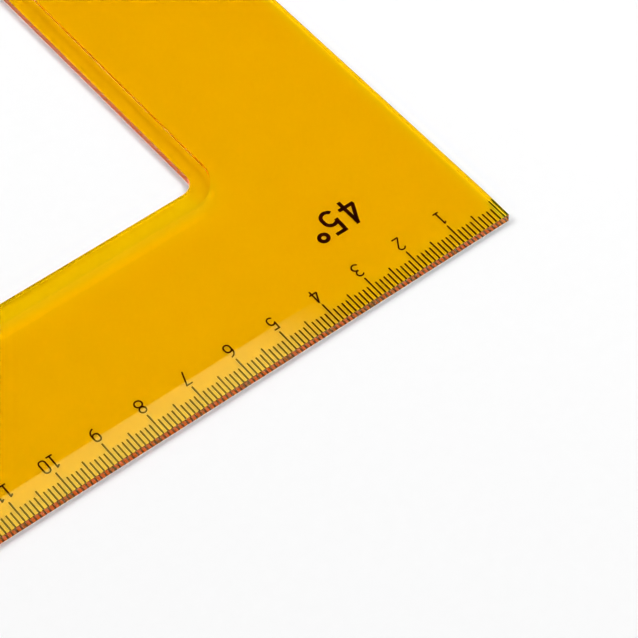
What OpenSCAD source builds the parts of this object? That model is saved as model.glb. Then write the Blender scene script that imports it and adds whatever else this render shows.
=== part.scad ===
// Set square of transparent plastic: a right triangle with two equal legs, a triangular cut-out,
// a sloping facet along the graduated leg, and a scale stamped into its underside.
// The graduated leg lies along +Y's edge, the plain leg along -X's, and the underside on z = 0.

/* [Plate] */
// Length of each leg
leg_l = 255; // [220:1:400]
// Thickness of the plate
plate_t = 2.2; // [1.9:0.05:4]
// Width of the band between the graduated edge and the cut-out
scale_band_w = 43; // [35:0.1:50]
// Width of the band between the plain leg's edge and the cut-out
leg_band_w = 41.7; // [35:0.1:50]
// Width of the band between the long edge and the cut-out
long_band_w = 42; // [35:0.1:50]
// Radius of the cut-out's corners
cutout_r = 3.3; // [1:0.1:5]

/* [Rim] */
// Thickness of the plate at the lowered rim round the cut-out
rim_t = 1.6; // [1:0.05:1.8]
// Width of that rim
cutout_rim_w = 4; // [2:0.1:8]

/* [Facet] */
// Width of the sloping facet along the graduated edge
facet_w = 7.25; // [5:0.05:12]
// Thickness of the plate at the graduated edge
facet_edge_t = 1.85; // [1.2:0.05:1.9]

/* [Graduation] */
// Depth of the stamped ink
ink_t = 0.1; // [0.05:0.01:0.3]
// Distance of the zero line from the plain leg's edge
zero_x = 0.35; // [0.2:0.05:2]
// Width of a line
tick_w = 0.28; // [0.1:0.02:0.4]
// Length of a millimetre line
mm_tick_l = 3.8; // [2:0.1:5]
// Length of a half-centimetre line
half_tick_l = 4.8; // [3:0.1:6]
// Length of a centimetre line
cm_tick_l = 5.8; // [4:0.1:7]
// Length of the zero line
zero_tick_l = 5.5; // [4:0.1:7]

/* [Numerals] */
// Height of a numeral
numeral_h = 3.15; // [2:0.05:4]
// Width of a numeral
numeral_w = 1.55; // [1.2:0.05:2]
// Width of a numeral's strokes
numeral_stroke = 0.28; // [0.15:0.01:0.35]
// Gap between the digits of a numeral
digit_gap = 0.33; // [0.25:0.01:1]
// Gap between a centimetre line and its numeral
numeral_gap = 0.62; // [0.2:0.02:2]
// Shift of a numeral towards the zero end, from its line
numeral_shift = 0.1; // [-0.5:0.05:0.5]
// Room left between the last numeral and the long edge
tip_gap = 0.8; // [0.5:0.1:10]

/* [Angle mark] */
// Height of the angle number
mark_h = 6.4; // [4:0.1:8]
// Width of the angle number's digits
mark_w = 3.4; // [2.5:0.1:4.5]
// Width of its strokes
mark_stroke = 0.75; // [0.4:0.05:0.9]
// Gap between its digits
mark_gap = 1; // [0.8:0.1:3]
// Distance of its middle from the plain leg's edge
mark_x = 24.5; // [20:0.5:28]
// Distance of its middle from the graduated edge
mark_y = 20; // [17:0.5:28]

/* [Hidden] */
// Smooth circles
$fn = 64;
// How far a cutting shape runs past the face that it opens
cut_over = 1;
// Millimetre and centimetre steps of the scale
mm_step = 1;
cm_step = 10;
half_step = cm_step / 2;

// The right-angled corner: the two legs run from here along +X and -Y
corner = [-leg_l / 2, leg_l / 2];

// The scale ends where its last numeral still clears the long edge
numeral_depth = cm_tick_l + numeral_gap + numeral_h;
last_half_w = numeral_w + digit_gap / 2;
tip_room = numeral_depth + last_half_w + tip_gap;
last_cm = floor((leg_l - zero_x - tip_room) / cm_step);
scale_l = last_cm * cm_step;

function two_figures(n) = str(n < 10 ? "0" : "", n);
function numeral_name(n) = str("numeral_", two_figures(n));

plate_colour = [0.91, 0.66, 0.02, 0.75];
ink_colour = [0.16, 0.08, 0.03];

// Corners of the right triangle that keeps the given distances from the plate's three edges
function inner_corners(from_scale, from_leg, from_long) =
    let (
        x = corner[0] + from_leg,
        y = corner[1] - from_scale,
        reach = leg_l - from_scale - from_leg - from_long * sqrt(2)
    )
    [[x, y], [x + reach, y], [x, y - reach]];

// Right triangle with round corners of radius r about the given centres
module round_triangle(centres, r) {
    up = [0, r];
    left = [-r, 0];
    out = [r, -r] / sqrt(2);
    polygon([
        centres[0] + left, centres[0] + up,
        centres[1] + up, centres[1] + out,
        centres[2] + out, centres[2] + left
    ]);
    for (c = centres) translate(c) circle(r);
}

module plate_outline() {
    polygon(inner_corners(0, 0, 0));
}

// The cut-out's outline, widened by the given amount all round
module cutout_outline(widen) {
    centres = inner_corners(scale_band_w + cutout_r, leg_band_w + cutout_r, long_band_w + cutout_r);
    round_triangle(centres, cutout_r + widen);
}

// Everything above the facet's slope, over the whole graduated edge
module facet_cut() {
    slope = (plate_t - facet_edge_t) / facet_w;
    translate([corner[0] - cut_over, corner[1], 0])
        rotate([90, 0, 90])
            linear_extrude(leg_l + 2 * cut_over)
                polygon([
                    [-facet_w, plate_t],
                    [cut_over, facet_edge_t - slope * cut_over],
                    [cut_over, plate_t + cut_over],
                    [-facet_w, plate_t + cut_over]
                ]);
}

module cutout_cuts() {
    translate([0, 0, -cut_over])
        linear_extrude(plate_t + 2 * cut_over) cutout_outline(0);
    translate([0, 0, rim_t])
        linear_extrude(plate_t - rim_t + cut_over) cutout_outline(cutout_rim_w);
}

module plate_body() {
    difference() {
        linear_extrude(plate_t) plate_outline();
        facet_cut();
        cutout_cuts();
    }
}

// One line of the scale, its middle at the given distance along the edge. It runs past the edge and
// the underside by over.
module tick(distance, length, over) {
    translate([corner[0] + zero_x + distance - tick_w / 2, corner[1] - length, -over])
        cube([tick_w, length + over, ink_t + over]);
}

module zero_line(over) {
    tick(0, zero_tick_l, over);
}

module millimetre_lines(over) {
    for (d = [mm_step:mm_step:scale_l - mm_step])
        if (d % half_step != 0) tick(d, mm_tick_l, over);
}

module half_centimetre_lines(over) {
    for (d = [half_step:cm_step:scale_l]) tick(d, half_tick_l, over);
}

module centimetre_lines(over) {
    for (d = [cm_step:cm_step:scale_l]) tick(d, cm_tick_l, over);
}

// A straight stroke of width s from p to q, with square ends
module stroke(p, q, s) {
    d = q - p;
    translate(p)
        rotate(atan2(d[1], d[0]))
            translate([0, -s / 2]) square([norm(d), s]);
}

// A ring-shaped stroke of width s and radius r
module ring(r, s) {
    difference() {
        circle(r + s / 2);
        circle(r - s / 2);
    }
}

// A stroke of width s along an arc of radius r about c, from angle a to angle b
module arc_stroke(c, r, a, b, s) {
    far = 2 * (r + s);
    steps = ceil((b - a) / 45);
    translate(c)
        intersection() {
            ring(r, s);
            polygon(concat(
                [[0, 0]],
                [for (i = [0:steps]) let (t = a + (b - a) * i / steps) far * [cos(t), sin(t)]]
            ));
        }
}

// The upright side of a loop or bowl, between the round ends
module loop_side(x, y, h, r, s) {
    if (h > 2 * r) stroke([x, y + r], [x, y + h - r], s);
}

// A closed loop that stands on y, h high and 2 * r wide
module loop(y, h, r, s) {
    arc_stroke([0, y + r], r, 180, 360, s);
    for (x = [-r, r]) loop_side(x, y, h, r, s);
    arc_stroke([0, y + h - r], r, 0, 180, s);
}

// The same loop, open to the left between angle a at its foot and angle b at its top
module bowl(y, h, r, a, b, s) {
    arc_stroke([0, y + r], r, a, 0, s);
    loop_side(r, y, h, r, s);
    arc_stroke([0, y + h - r], r, 0, b, s);
}

// The digits are drawn about the middle of their base, h high and w wide over their strokes of width s.
// Their modules take the height and the half width between the middles of the strokes.
module digit(d, h, w, s) {
    high = h - s;
    r = (w - s) / 2;
    translate([0, s / 2]) {
        if (d == 0) loop(0, high, r, s);
        if (d == 1) digit_one(high, r, s);
        if (d == 2) digit_two(high, r, s);
        if (d == 3) digit_three(high, r, s);
        if (d == 4) digit_four(high, r, s);
        if (d == 5) digit_five(high, r, s);
        if (d == 6) digit_six(high, r, s);
        if (d == 7) digit_seven(high, r, s);
        if (d == 8) digit_eight(high, r, s);
        if (d == 9) translate([0, high]) rotate(180) digit_six(high, r, s);
    }
}

module digit_one(high, r, s) {
    flag = [-0.8 * r, -0.12 * high];
    stroke([0, 0], [0, high + s / 2], s);
    stroke([0, high] + flag, [0, high], s);
    stroke([-r, 0], [r, 0], s);
}

module digit_two(high, r, s) {
    // The slanted stroke starts within the round top and leaves it about along its tangent
    centre = [0, high - r];
    start = -15;
    arc_stroke(centre, r, -45, 165, s);
    stroke([-r, s / 2], centre + r * [cos(start), sin(start)], s);
    stroke([-r - s / 2, 0], [r, 0], s);
}

// Heights of the lower and upper rounds of a three or an eight, which share most of a stroke at the waist
function lower_h(high) = 0.525 * high;
function upper_h(high, s) = high - lower_h(high) - 0.2 * s;

// A round's radius: half its height, or less where that is wider than the digit allows
function lower_r(high, r) = min(lower_h(high) / 2, 1.2 * r);
function upper_r(high, r, s) = min(upper_h(high, s) / 2, 1.05 * r);

module digit_three(high, r, s) {
    top_h = upper_h(high, s);
    bowl(0, lower_h(high), lower_r(high, r), -150, 100, s);
    bowl(high - top_h, top_h, upper_r(high, r, s), -100, 150, s);
}

module digit_four(high, r, s) {
    bar_y = 0.24 * high;
    bar_reach = 1.3 * r;
    stem_x = 0.4 * r;
    stroke([stem_x, -s / 2], [stem_x, high + s / 2], s);
    stroke([-bar_reach, bar_y], [bar_reach, bar_y], s);
    stroke([-bar_reach + s / 4, bar_y], [stem_x, high], s);
}

// Height of the round part of a five, a six or a nine
function round_h(high) = 0.6 * high;

module digit_five(high, r, s) {
    stem_foot = [-0.85 * r, 0.43 * high];
    stem_top = [-0.75 * r, high];
    stroke(stem_top - [s / 2, 0], [0.9 * r, high], s);
    stroke(stem_foot, stem_top, s);
    bowl(0, round_h(high), r, -150, 150, s);
}

module digit_six(high, r, s) {
    // The stem bends over to the right in an arc of twice the loop's radius
    bend_r = 2 * r;
    bend_y = high - bend_r;
    arc_stroke([bend_r - r, bend_y], bend_r, 100, 180, s);
    stroke([-r, r], [-r, bend_y], s);
    loop(0, round_h(high), r, s);
}

module digit_seven(high, r, s) {
    foot_x = -0.65 * r;
    stroke([-r, high], [r + s / 2, high], s);
    stroke([foot_x, -s / 2], [r, high], s);
}

module digit_eight(high, r, s) {
    top_h = upper_h(high, s);
    loop(0, lower_h(high), lower_r(high, r), s);
    loop(high - top_h, top_h, upper_r(high, r, s), s);
}

// A row of digits, centred on the origin
module number(digits, gap, h, w, s) {
    pitch = w + gap;
    first = -pitch * (len(digits) - 1) / 2;
    for (i = [0:len(digits) - 1])
        translate([first + pitch * i, 0]) digit(digits[i], h, w, s);
}

function digits_of(n) = n < 10 ? [n] : [floor(n / 10), n % 10];

module numeral_print(n, over) {
    x = corner[0] + zero_x + cm_step * n - numeral_shift;
    translate([x, corner[1] - numeral_depth, -over])
        linear_extrude(ink_t + over)
            number(digits_of(n), digit_gap, numeral_h, numeral_w, numeral_stroke);
}

// The angle of the two points, with a small ring for the degree sign
module angle_print(over) {
    ring_r = 0.14 * mark_h;
    ring_x = mark_w + 1.5 * mark_gap + ring_r;
    translate([corner[0] + mark_x, corner[1] - mark_y - mark_h / 2, -over])
        linear_extrude(ink_t + over) {
            number([4, 5], mark_gap, mark_h, mark_w, mark_stroke);
            translate([ring_x, mark_h - ring_r - mark_stroke / 2]) ring(ring_r, mark_stroke);
        }
}

module plate() {
    color(plate_colour)
        difference() {
            plate_body();
            zero_line(cut_over);
            millimetre_lines(cut_over);
            half_centimetre_lines(cut_over);
            centimetre_lines(cut_over);
            for (n = [1:last_cm]) numeral_print(n, cut_over);
            angle_print(cut_over);
        }
}

module zero_tick() { color(ink_colour) zero_line(0); }

module millimetre_ticks() { color(ink_colour) millimetre_lines(0); }

module half_centimetre_ticks() { color(ink_colour) half_centimetre_lines(0); }

module centimetre_ticks() { color(ink_colour) centimetre_lines(0); }

module numeral(n) { color(ink_colour) numeral_print(n, 0); }

module angle_mark() { color(ink_colour) angle_print(0); }

plate();
zero_tick();
millimetre_ticks();
half_centimetre_ticks();
centimetre_ticks();
for (n = [1:last_cm]) numeral(n);
angle_mark();
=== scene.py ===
"""Looks of the drafting triangle: clear amber acrylic with a dark stamped scale, on a white table."""

import math

import bmesh
import bpy
from mathutils import Matrix, Vector


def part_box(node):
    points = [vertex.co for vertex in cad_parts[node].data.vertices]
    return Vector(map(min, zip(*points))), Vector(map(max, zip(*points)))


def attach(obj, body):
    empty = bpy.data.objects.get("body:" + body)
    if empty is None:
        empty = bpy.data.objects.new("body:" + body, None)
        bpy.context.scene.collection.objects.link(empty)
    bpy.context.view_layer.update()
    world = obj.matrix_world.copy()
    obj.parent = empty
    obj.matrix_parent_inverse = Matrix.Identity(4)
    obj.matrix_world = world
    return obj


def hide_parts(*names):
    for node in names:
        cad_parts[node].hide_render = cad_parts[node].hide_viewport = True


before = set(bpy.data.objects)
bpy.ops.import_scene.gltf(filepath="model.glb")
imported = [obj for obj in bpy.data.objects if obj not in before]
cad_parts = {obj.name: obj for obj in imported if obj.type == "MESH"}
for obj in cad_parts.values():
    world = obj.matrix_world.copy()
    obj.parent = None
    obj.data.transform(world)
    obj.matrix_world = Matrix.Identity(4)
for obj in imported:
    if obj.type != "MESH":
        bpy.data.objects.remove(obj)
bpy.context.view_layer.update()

MM = 0.001
PLATE_LOW, PLATE_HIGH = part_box("plate")

# Sizes of the plate in millimetres, as in the part's source
LEG_L = (PLATE_HIGH.x - PLATE_LOW.x) / MM
PLATE_T = PLATE_HIGH.z / MM
CORNER = Vector((PLATE_LOW.x / MM, PLATE_HIGH.y / MM))
SCALE_BAND_W = 43.0
LEG_BAND_W = 41.7
LONG_BAND_W = 42.0
CUTOUT_R = 3.3
RIM_T = 1.6
CUTOUT_RIM_W = 4.0
FACET_W = 7.25
FACET_EDGE_T = 1.85

# The underside lies a little above the ink's, so that the ink shows from below and no faces coincide
UNDERSIDE_Z = 0.01
# Moulded edges are not knife-sharp. A profile of a half is a circle's arc.
EDGE_ROUND = 0.08
EDGE_ROUND_STEPS = 2
EDGE_ROUND_PROFILE = 0.5
# On the graduated leg's side the body falls away softly towards the cut-out's rim
SHOULDER_W = 4.5
SHOULDER_DROP = PLATE_T - RIM_T
SHOULDER_STEPS = 8
# The facet's slope in degrees where it leaves the body and where it meets the edge, and its steps
FACET_SLOPES = (2.2, 3.3)
FACET_STEPS = 8
# Directions of each corner's arc in degrees, clockwise round the triangle, and all its steps in radians
CORNER_TURNS = ((180, 90), (90, -45), (-45, -180))
ARC_STEPS = 20
ARC_ANGLES = [
    [math.radians(start + (end - start) * step / ARC_STEPS) for step in range(ARC_STEPS + 1)]
    for start, end in CORNER_TURNS
]

# Points are joined where they agree to this many decimals of a millimetre
SAME_DECIMALS = 5
# Heights and places are taken as equal within this
EQUAL_WITHIN = 0.001
# Turns between faces: edges above the first are rounded, and shading runs on below the second
SHARP_TURN = math.radians(40)
SMOOTH_BELOW = math.radians(20)
# Faces whose normals rise or fall by less than the first are walls, and those that rise by more than the
# second look up
WALL_TILT = 0.1
LOOKS_UP = 0.5

# Material slots of the plate
TOP, WALL = 0, 1
# Along the plain leg the cut-out's rim is a shade deeper, which fades round the corners. The slope beside
# the rim and the upper half of the rounded edges are satin. The side faces towards +X and +Y are ground.
# The mesh keeps the share of each.
DEEPNESS = "deepness"
SATIN = "satin"
GROUND = "ground"
# How much rougher the last two are
ROUGHER = ((SATIN, 0.25), (GROUND, 0.2))
# A slope's upward part where its satin starts and where it is full
SATIN_START = math.cos(math.radians(4))
SATIN_FULL = math.cos(math.radians(10))
# A side face's part towards +X or +Y where it starts to be ground
GROUND_START = 0.75
# Along the plain leg a strip of the plate is made lighter by painted light: all of it within the first
# distance from the edge in millimetres, and none past the second
PAINTED_STRIP_GLOW_ENDS = (1.3, 1.9)

# The part of its range that noise mostly fills
NOISE_MIDDLE = (0.3, 0.7)
# The acrylic: how strongly it bends light, what its body lets pass and how dense it is, and the colours of
# its reflections, of the deeper rim, and of the painted glows of the lighter strip and of the side faces
ACRYLIC_IOR = 1.49
AMBER = (0.9902, 0.9304, 0)
AMBER_DENSITY = 2500
SHEEN = (1, 0.96, 0.3)
RIM_TINT = (0.97, 0.8, 1)
PAINTED_STRIP_GLOW_COLOUR = (0.3, 1, 0.05)
PAINTED_SIDE_GLOW_COLOUR = (1, 1, 0)
# The ends of the uneven ink's colour and roughness, and of the table's colour
INK_COLOURS = ((0.040, 0.005, 0.004), (0.055, 0.007, 0.005))
INK_ROUGHNESS = (0.45, 0.65)
TABLE_COLOURS = ((0.93, 0.93, 0.93), (0.95, 0.95, 0.95))
WHITE = (1, 1, 1)


def clamp(value):
    """The value kept within 0 and 1."""
    return min(1, max(0, value))


def inner_corners(from_scale, from_leg, from_long):
    """Corners of the triangle that keeps the given distances from the plate's three edges."""
    x = CORNER.x + from_leg
    y = CORNER.y - from_scale
    reach = LEG_L - from_scale - from_leg - from_long * math.sqrt(2)
    return [Vector((x, y)), Vector((x + reach, y)), Vector((x, y - reach))]


def cutout_arcs(widen):
    """The three corner arcs of the cut-out's outline, widened all round, as lists of points."""
    centres = inner_corners(
        SCALE_BAND_W + CUTOUT_R, LEG_BAND_W + CUTOUT_R, LONG_BAND_W + CUTOUT_R
    )
    radius = CUTOUT_R + widen
    return [
        [centre + radius * Vector((math.cos(angle), math.sin(angle))) for angle in angles]
        for centre, angles in zip(centres, ARC_ANGLES)
    ]


def level_loop(arcs, z):
    """The points of all the arcs in one loop at one height."""
    return [(point, z) for arc in arcs for point in arc]


class Shell:
    """A mesh in millimetres that joins points which are the same."""

    def __init__(self):
        self.mesh = bmesh.new()
        self.points = {}

    def point(self, flat, z):
        """The mesh's point at this place, which is made if it isn't there yet."""
        key = tuple(round(place, SAME_DECIMALS) for place in (flat.x, flat.y, z))
        if key not in self.points:
            self.points[key] = self.mesh.verts.new(key)
        return self.points[key]

    def face(self, *corners):
        """A face through the given points, left out where fewer than three of them differ."""
        verts = list(dict.fromkeys(self.point(flat, z) for flat, z in corners))
        if len(verts) > 2:
            self.mesh.faces.new(verts)

    def framed_face(self, outer, arcs, z):
        """A flat triangle with the round-cornered hole in it."""
        for i in range(len(outer)):
            j = (i + 1) % len(outer)
            for a, b in zip(arcs[i], arcs[i][1:]):
                self.face((outer[i], z), (a, z), (b, z))
            self.face((outer[i], z), (arcs[i][-1], z), (arcs[j][0], z), (outer[j], z))

    def band(self, loop_a, loop_b):
        """The faces between two loops that run beside or above each other."""
        for i in range(len(loop_a)):
            j = (i + 1) % len(loop_a)
            self.face(loop_a[i], loop_a[j], loop_b[j], loop_b[i])


def facet_rows(crease_left, crease_right, edge_left, edge_right):
    """Rows of the facet from its crease to the edge, as left point, right point and height.

    The facet bulges a little, because its slope grows towards the edge.
    """
    first, last = [math.tan(math.radians(slope)) for slope in FACET_SLOPES]
    drop = PLATE_T - FACET_EDGE_T
    whole = (first + last) / 2
    rows = []
    for step in range(FACET_STEPS + 1):
        share = step / FACET_STEPS
        fall = first * share + (last - first) * share * share / 2
        rows.append((
            crease_left.lerp(edge_left, share), crease_right.lerp(edge_right, share),
            PLATE_T - drop * fall / whole,
        ))
    return rows


def shoulder_loops():
    """Loops of the body's shoulder from the flat to the rim. They drop where they face the graduated leg."""
    falls = [max(0, math.sin(angle)) ** 2 for angles in ARC_ANGLES for angle in angles]
    loops = []
    for step in range(SHOULDER_STEPS + 1):
        share = step / SHOULDER_STEPS
        loop = level_loop(cutout_arcs(CUTOUT_RIM_W + SHOULDER_W * (1 - share)), PLATE_T)
        loops.append([
            (point, z - SHOULDER_DROP * fall * share * share) for (point, z), fall in zip(loop, falls)
        ])
    return loops


def round_top_edges(mesh):
    """Rounds the upper edges of the outer sides and of the cut-out's wall."""
    edges = [
        e for e in mesh.edges
        if e.calc_face_angle_signed() > SHARP_TURN
        and min(v.co.z for v in e.verts) > FACET_EDGE_T / 2
        and min(v.co.z for f in e.link_faces for v in f.verts) < EQUAL_WITHIN + UNDERSIDE_Z
    ]
    bmesh.ops.bevel(
        mesh, geom=edges, offset=EDGE_ROUND, offset_type="OFFSET", segments=EDGE_ROUND_STEPS,
        profile=EDGE_ROUND_PROFILE, affect="EDGES", clamp_overlap=True,
    )


def mark_faces(mesh):
    """Gives the faces their material slots and their shares of what the mesh keeps."""
    deepness = mesh.loops.layers.float.new(DEEPNESS)
    satin = mesh.faces.layers.float.new(SATIN)
    ground = mesh.faces.layers.float.new(GROUND)
    for face in mesh.faces:
        face.smooth = True
        face.material_index = WALL if abs(face.normal.z) < WALL_TILT else TOP
        if face.material_index == WALL:
            facing = max(face.normal.x, face.normal.y)
            face[ground] = clamp((facing - GROUND_START) / (1 - GROUND_START))
        if face.normal.z > LOOKS_UP:
            face[satin] = clamp((SATIN_START - face.normal.z) / (SATIN_START - SATIN_FULL))
        if all(abs(v.co.z - RIM_T) < EQUAL_WITHIN for v in face.verts):
            for loop in face.loops:
                past_leg = loop.vert.co.x - CORNER.x - LEG_BAND_W
                loop[deepness] = clamp(1 - past_leg / CUTOUT_R)


def mark_edges(mesh, crease_y):
    """Lets the shading run on over the edges, apart from sharp ones and the facet's crease."""
    for edge in mesh.edges:
        on_crease = all(
            abs(v.co.z - PLATE_T) < EQUAL_WITHIN and abs(v.co.y - crease_y) < EQUAL_WITHIN
            for v in edge.verts
        )
        edge.smooth = edge.calc_face_angle() < SMOOTH_BELOW and not on_crease


def plate_shell():
    """The plate with its facet and its cut-out's lowered rim, closed and with its top edges rounded."""
    shell = Shell()
    right, tip, foot = inner_corners(0, 0, 0)
    body = inner_corners(FACET_W, 0, 0)
    crease_right, crease_tip, _ = body
    facet = facet_rows(crease_right, crease_tip, right, tip)
    leg_side = [(left, z) for left, _, z in facet]
    long_side = [(end, z) for _, end, z in facet]
    cutout = cutout_arcs(0)
    rim_loop = level_loop(cutout_arcs(CUTOUT_RIM_W), RIM_T)
    shoulder = shoulder_loops()

    # Upper side: the body, its shoulder, the facet and the rim round the cut-out with its step
    shell.framed_face(body, cutout_arcs(CUTOUT_RIM_W + SHOULDER_W), PLATE_T)
    for loop_a, loop_b in zip(shoulder, shoulder[1:]):
        shell.band(loop_a, loop_b)
    for (left_a, right_a, z_a), (left_b, right_b, z_b) in zip(facet, facet[1:]):
        shell.face((left_a, z_a), (right_a, z_a), (right_b, z_b), (left_b, z_b))
    shell.band(rim_loop, level_loop(cutout, RIM_T))
    shell.band(shoulder[-1], rim_loop)

    # Outer sides, the cut-out's wall and the underside
    shell.face((right, UNDERSIDE_Z), (tip, UNDERSIDE_Z), long_side[-1], leg_side[-1])
    shell.face((right, UNDERSIDE_Z), (foot, UNDERSIDE_Z), (foot, PLATE_T), *leg_side)
    shell.face((tip, UNDERSIDE_Z), (foot, UNDERSIDE_Z), (foot, PLATE_T), *long_side)
    shell.band(level_loop(cutout, RIM_T), level_loop(cutout, UNDERSIDE_Z))
    shell.framed_face([right, tip, foot], cutout, UNDERSIDE_Z)

    mesh = shell.mesh
    bmesh.ops.recalc_face_normals(mesh, faces=mesh.faces)
    round_top_edges(mesh)
    mark_faces(mesh)
    mark_edges(mesh, crease_right.y)
    bmesh.ops.scale(mesh, vec=(MM, MM, MM), verts=mesh.verts)
    return mesh


def new_material(name):
    """A material with its Principled shader and its output."""
    material = bpy.data.materials.new(name)
    material.use_nodes = True
    nodes = material.node_tree.nodes
    return material, nodes["Principled BSDF"], nodes["Material Output"]


def map_range(tree, value, from_ends, to_ends, course="LINEAR"):
    """The value carried over from one pair of ends to another."""
    node = tree.nodes.new("ShaderNodeMapRange")
    node.interpolation_type = course
    for name, number in zip(("From Min", "From Max", "To Min", "To Max"), (*from_ends, *to_ends)):
        node.inputs[name].default_value = number
    tree.links.new(value, node.inputs["Value"])
    return node.outputs["Result"]


def mesh_share(tree, name):
    """A share that the mesh keeps."""
    node = tree.nodes.new("ShaderNodeAttribute")
    node.attribute_name = name
    return node.outputs["Fac"]


def noise(tree, scale, detail):
    """Noise in the part's own frame, in cells per metre."""
    place = tree.nodes.new("ShaderNodeTexCoord")
    texture = tree.nodes.new("ShaderNodeTexNoise")
    texture.inputs["Scale"].default_value = scale
    texture.inputs["Detail"].default_value = detail
    tree.links.new(place.outputs["Object"], texture.inputs["Vector"])
    return texture.outputs["Fac"]


def set_colour(socket, colour):
    """Sets an opaque colour on a socket."""
    socket.default_value = (*colour, 1)


def blend_colours(tree, factor, first, second):
    """A colour that runs from first to second with the factor."""
    node = tree.nodes.new("ShaderNodeMix")
    node.data_type = "RGBA"
    colour_a, colour_b = [s for s in node.inputs if s.type == "RGBA"]
    set_colour(colour_a, first)
    set_colour(colour_b, second)
    tree.links.new(factor, node.inputs["Factor"])
    return next(s for s in node.outputs if s.type == "RGBA")


def painted_strip_glow_level(tree, level):
    """The painted glow's level in the strip along the plain leg's edge, falling to nothing at its border."""
    place = tree.nodes.new("ShaderNodeTexCoord")
    split = tree.nodes.new("ShaderNodeSeparateXYZ")
    tree.links.new(place.outputs["Object"], split.inputs["Vector"])
    ends = [PLATE_LOW.x + end * MM for end in PAINTED_STRIP_GLOW_ENDS]
    return map_range(tree, split.outputs["X"], ends, (level, 0), "SMOOTHSTEP")


def painted_side_glow(tree, strength):
    """Painted light: a glow in the plate, seen directly only, so that the table takes no light from it."""
    glow_shader = tree.nodes.new("ShaderNodeEmission")
    set_colour(glow_shader.inputs["Color"], PAINTED_SIDE_GLOW_COLOUR)
    path = tree.nodes.new("ShaderNodeLightPath")
    seen = map_range(tree, path.outputs["Diffuse Depth"], (0, 1), (strength, 0))
    tree.links.new(seen, glow_shader.inputs["Strength"])
    return glow_shader.outputs["Emission"]


def acrylic(name, smooth, rough, glow, strip):
    """Clear amber acrylic, whose body soaks up blue and some of the green.

    Its roughness runs from smooth to rough with the wear. A painted glow lights the plate's side faces,
    and a faint painted glow of its own makes the strip along the plain leg's edge lighter.
    """
    material, shader, output = new_material(name)
    tree = material.node_tree
    tint = blend_colours(tree, mesh_share(tree, DEEPNESS), WHITE, RIM_TINT)
    tree.links.new(tint, shader.inputs["Base Color"])
    shader.inputs["Transmission Weight"].default_value = 1
    shader.inputs["IOR"].default_value = ACRYLIC_IOR
    set_colour(shader.inputs["Specular Tint"], SHEEN)
    # Painted light: a faint glow that makes the strip along the plain leg's edge lighter
    if strip:
        set_colour(shader.inputs["Emission Color"], PAINTED_STRIP_GLOW_COLOUR)
        tree.links.new(painted_strip_glow_level(tree, strip), shader.inputs["Emission Strength"])
    roughness = map_range(tree, noise(tree, scale=45, detail=3), NOISE_MIDDLE, (smooth, rough))
    for share_name, amount in ROUGHER:
        added = tree.nodes.new("ShaderNodeMath")
        added.operation = "MULTIPLY_ADD"
        added.inputs[1].default_value = amount
        tree.links.new(mesh_share(tree, share_name), added.inputs[0])
        tree.links.new(roughness, added.inputs[2])
        roughness = added.outputs["Value"]
    tree.links.new(roughness, shader.inputs["Roughness"])
    body = tree.nodes.new("ShaderNodeVolumeAbsorption")
    set_colour(body.inputs["Color"], AMBER)
    body.inputs["Density"].default_value = AMBER_DENSITY
    inside = body.outputs["Volume"]
    # Painted light: a glow inside the side faces that makes them look lit
    if glow:
        both = tree.nodes.new("ShaderNodeAddShader")
        tree.links.new(inside, both.inputs[0])
        tree.links.new(painted_side_glow(tree, glow), both.inputs[1])
        inside = both.outputs["Shader"]
    tree.links.new(inside, output.inputs["Volume"])
    return material


def ink():
    """Stamped foil: dark brown, a little uneven."""
    material, shader, _ = new_material("stamped_ink")
    tree = material.node_tree
    grain = noise(tree, scale=3000, detail=4)
    tree.links.new(blend_colours(tree, grain, *INK_COLOURS), shader.inputs["Base Color"])
    tree.links.new(map_range(tree, grain, NOISE_MIDDLE, INK_ROUGHNESS), shader.inputs["Roughness"])
    shader.inputs["Specular IOR Level"].default_value = 0.05
    return material


def paper():
    """White table top with a faint tooth."""
    material, shader, _ = new_material("white_table")
    tree = material.node_tree
    tooth = noise(tree, scale=400, detail=5)
    tree.links.new(blend_colours(tree, tooth, *TABLE_COLOURS), shader.inputs["Base Color"])
    shader.inputs["Roughness"].default_value = 0.9
    shader.inputs["Specular IOR Level"].default_value = 0.1
    return material


def add_object(name, mesh_data, *materials):
    """An object of the scene with the given mesh and materials."""
    mesh = bpy.data.meshes.new(name)
    mesh_data.to_mesh(mesh)
    mesh_data.free()
    for material in materials:
        mesh.materials.append(material)
    obj = bpy.data.objects.new(name, mesh)
    bpy.context.scene.collection.objects.link(obj)
    return obj


# The plate stands for the CAD plate. Its two materials are in the order of the slots. The top paints light
# into the strip along the plain leg, and the side faces have a painted glow.
plate = add_object(
    "acrylic_plate", plate_shell(),
    acrylic("amber_acrylic", smooth=0.0, rough=0.02, glow=0, strip=0.042),
    acrylic("amber_acrylic_edge", smooth=0.0, rough=0.03, glow=15, strip=0),
)
weighted = plate.modifiers.new("flat_faces_stay_flat", "WEIGHTED_NORMAL")
weighted.keep_sharp = True
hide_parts("plate")
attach(plate, "root")

# The print keeps its CAD shapes
ink_material = ink()
for name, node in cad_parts.items():
    if name != "plate":
        node.data.materials.clear()
        node.data.materials.append(ink_material)

# Table under the part, in millimetres
FLOOR_Z = -0.02
FLOOR_HALF = 3000
floor_mesh = bmesh.new()
bmesh.ops.create_grid(floor_mesh, x_segments=1, y_segments=1, size=FLOOR_HALF * MM)
bmesh.ops.translate(floor_mesh, vec=(0, 0, FLOOR_Z * MM), verts=floor_mesh.verts)
floor = add_object("table", floor_mesh, paper())

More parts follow.
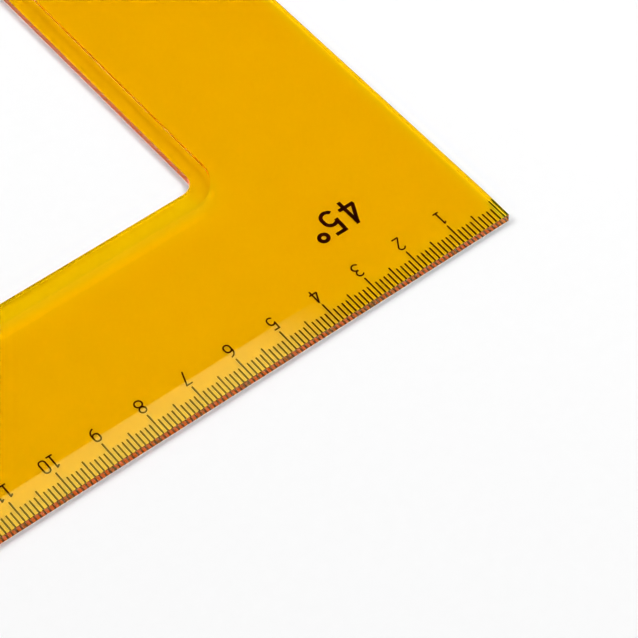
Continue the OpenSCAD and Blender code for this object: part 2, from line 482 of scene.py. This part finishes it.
# Camera: where the photograph was taken from, aimed at a point on the graduated edge's level. The lens and
# the sensor are in millimetres, and the nearest distance that it shows is in metres.
EYE = Vector((99.586, 370.727, 397.654)) * MM
AIM = Vector((-84.146, 124.607, 1.85)) * MM
ROLL = math.radians(-1.7823)
LENS = 153.93
SENSOR_W = 36
NEAREST = 0.01
camera_data = bpy.data.cameras.new("camera")
camera_data.lens = LENS
camera_data.sensor_width = SENSOR_W
camera_data.clip_start = NEAREST
camera = bpy.data.objects.new("camera", camera_data)
bpy.context.scene.collection.objects.link(camera)
turn = (AIM - EYE).to_track_quat("-Z", "Y").to_matrix().to_4x4()
camera.matrix_world = Matrix.Translation(EYE) @ turn @ Matrix.Rotation(ROLL, 4, "Z")
bpy.context.scene.camera = camera

# Height of all the lamps, in millimetres, and where their places from 0 to 1 fold back
LAMP_Z = 1500
LAMP_MIDDLE = 0.5


def soft_box(name, low, high, radiance, fade):
    """A lamp between two corners that faces straight down and dims within fade of its border.

    Lengths are in millimetres.
    """
    sides = [b - a for a, b in zip(low, high)]
    data = bpy.data.lights.new(name, "AREA")
    data.shape = "RECTANGLE"
    data.size = sides[0] * MM
    data.size_y = sides[1] * MM
    data.energy = radiance * math.pi * data.size * data.size_y
    data.use_nodes = True
    tree = data.node_tree
    place = tree.nodes.new("ShaderNodeNewGeometry")
    split = tree.nodes.new("ShaderNodeSeparateXYZ")
    tree.links.new(place.outputs["Parametric"], split.inputs["Vector"])
    level = tree.nodes.new("ShaderNodeMath")
    level.operation = "MULTIPLY"
    for i, side in enumerate(sides):
        # Folded at the middle, the places count from the nearer border
        from_border = tree.nodes.new("ShaderNodeMath")
        from_border.operation = "PINGPONG"
        from_border.inputs[1].default_value = LAMP_MIDDLE
        tree.links.new(split.outputs[i], from_border.inputs[0])
        rise = map_range(tree, from_border.outputs["Value"], (0, fade / side), (0, 1), "SMOOTHSTEP")
        tree.links.new(rise, level.inputs[i])
    tree.links.new(level.outputs["Value"], tree.nodes["Emission"].inputs["Strength"])
    lamp = bpy.data.objects.new(name, data)
    lamp.location = Vector(((low[0] + high[0]) / 2, (low[1] + high[1]) / 2, LAMP_Z)) * MM
    lamp.visible_camera = False
    bpy.context.scene.collection.objects.link(lamp)


soft_box("facet_soft_box", low=(-770, -750), high=(-330, -430), radiance=3.1, fade=110)
soft_box("right_soft_box", low=(200, -1520), high=(1300, -310), radiance=8.1, fade=200)
soft_box("left_soft_box", low=(-1870, 200), high=(-560, 1300), radiance=7.4, fade=200)
soft_box("far_soft_box", low=(-1750, -960), high=(-1010, -220), radiance=11.2, fade=150)
soft_box("back_soft_box", low=(-1010, -560), high=(-350, -280), radiance=5.8, fade=100)


def room(strength, flag_towards, flag_inner, flag_outer):
    """Even light from all round, with a dark flag in one direction. The flag's angles are in degrees."""
    world = bpy.data.worlds.new("room")
    bpy.context.scene.world = world
    world.use_nodes = True
    tree = world.node_tree
    place = tree.nodes.new("ShaderNodeTexCoord")
    towards = tree.nodes.new("ShaderNodeVectorMath")
    towards.operation = "DOT_PRODUCT"
    towards.inputs[1].default_value = Vector(flag_towards).normalized()
    tree.links.new(place.outputs["Generated"], towards.inputs[0])
    ends = [math.cos(math.radians(angle)) for angle in (flag_outer, flag_inner)]
    level = map_range(tree, towards.outputs["Value"], ends, (strength, 0), "SMOOTHSTEP")
    background = tree.nodes["Background"]
    tree.links.new(level, background.inputs["Strength"])
    set_colour(background.inputs["Color"], WHITE)


room(strength=0.16, flag_towards=(-0.42, -0.74, 1.0), flag_inner=15, flag_outer=22)

bpy.context.scene.view_settings.view_transform = "Standard"
cycles = bpy.context.scene.cycles
# Light runs along inside the plate and passes its smooth faces unblurred
BOUNCES = 40
cycles.max_bounces = BOUNCES
cycles.glossy_bounces = BOUNCES
cycles.transmission_bounces = BOUNCES
cycles.blur_glossy = 0
# Fine print stays crisp with a pixel filter that is narrower than usual
cycles.filter_width = 1.2
